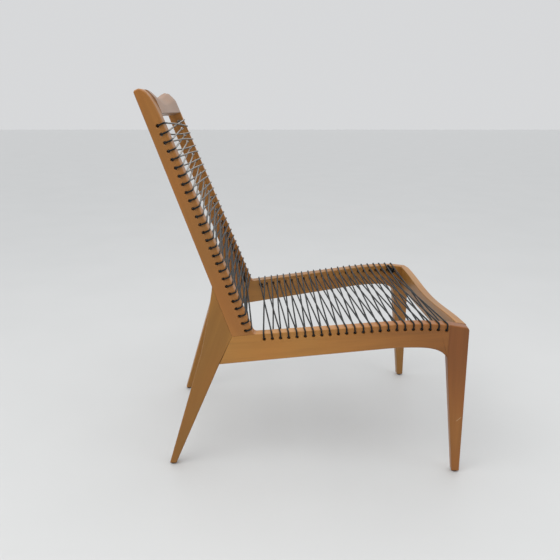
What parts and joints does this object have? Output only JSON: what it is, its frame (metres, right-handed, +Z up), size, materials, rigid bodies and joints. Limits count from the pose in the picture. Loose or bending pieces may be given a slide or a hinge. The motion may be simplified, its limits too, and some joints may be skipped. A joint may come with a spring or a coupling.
{
  "type": "lounge chair",
  "caption": "Low armless wooden lounge chair; cord laced through holes in the side rails and back uprights makes the seat and back.",
  "frame": {"origin": "on the floor, under the middle of the chair's box", "axes": "+Z up; the chair faces -Y; +X is to the sitter's left"},
  "size_m": [0.5602, 0.7108, 0.85],
  "materials": {
    "frame_wood": "satin lacquer",
    "leg_wood": "satin lacquer",
    "crest_wood": "satin lacquer",
    "dowel": "bare",
    "cord": "tightly braided, slight sheen",
    "glide": "matte"
  },
  "bodies": {
    "root": {"back_cord_1": "cord", "back_cord_2": "cord", "back_stop_knot_left": "cord", "back_stop_knot_right": "cord", "back_tie_knot": "cord", "crest_dowel_1_left": "dowel", "crest_dowel_1_right": "dowel", "crest_dowel_2_left": "dowel", "crest_dowel_2_right": "dowel", "crest_rail": "crest_wood", "front_joint_dowel_1_left": "dowel", "front_joint_dowel_1_right": "dowel", "front_joint_dowel_2_left": "dowel", "front_joint_dowel_2_right": "dowel", "front_leg_left": "leg_wood", "front_leg_right": "leg_wood", "front_rail": "frame_wood", "front_rail_dowel_1_left": "dowel", "front_rail_dowel_1_right": "dowel", "front_rail_dowel_2_left": "dowel", "front_rail_dowel_2_right": "dowel", "glide_front_left": "glide", "glide_front_right": "glide", "glide_rear_left": "glide", "glide_rear_right": "glide", "rail_leg_dowel_1_left": "dowel", "rail_leg_dowel_1_right": "dowel", "rail_leg_dowel_2_left": "dowel", "rail_leg_dowel_2_right": "dowel", "rear_leg_left": "frame_wood", "rear_leg_right": "frame_wood", "rear_rail": "frame_wood", "rear_rail_dowel_1_left": "dowel", "rear_rail_dowel_1_right": "dowel", "rear_rail_dowel_2_left": "dowel", "rear_rail_dowel_2_right": "dowel", "seat_cord_1": "cord", "seat_cord_2": "cord", "seat_stop_knot_left": "cord", "seat_stop_knot_right": "cord", "seat_tie_knot": "cord", "side_rail_left": "frame_wood", "side_rail_right": "frame_wood", "stile_left": "frame_wood", "stile_leg_dowel_1_left": "dowel", "stile_leg_dowel_1_right": "dowel", "stile_leg_dowel_2_left": "dowel", "stile_leg_dowel_2_right": "dowel", "stile_rail_dowel_left": "dowel", "stile_rail_dowel_right": "dowel", "stile_right": "frame_wood"}
  },
  "joints": []
}
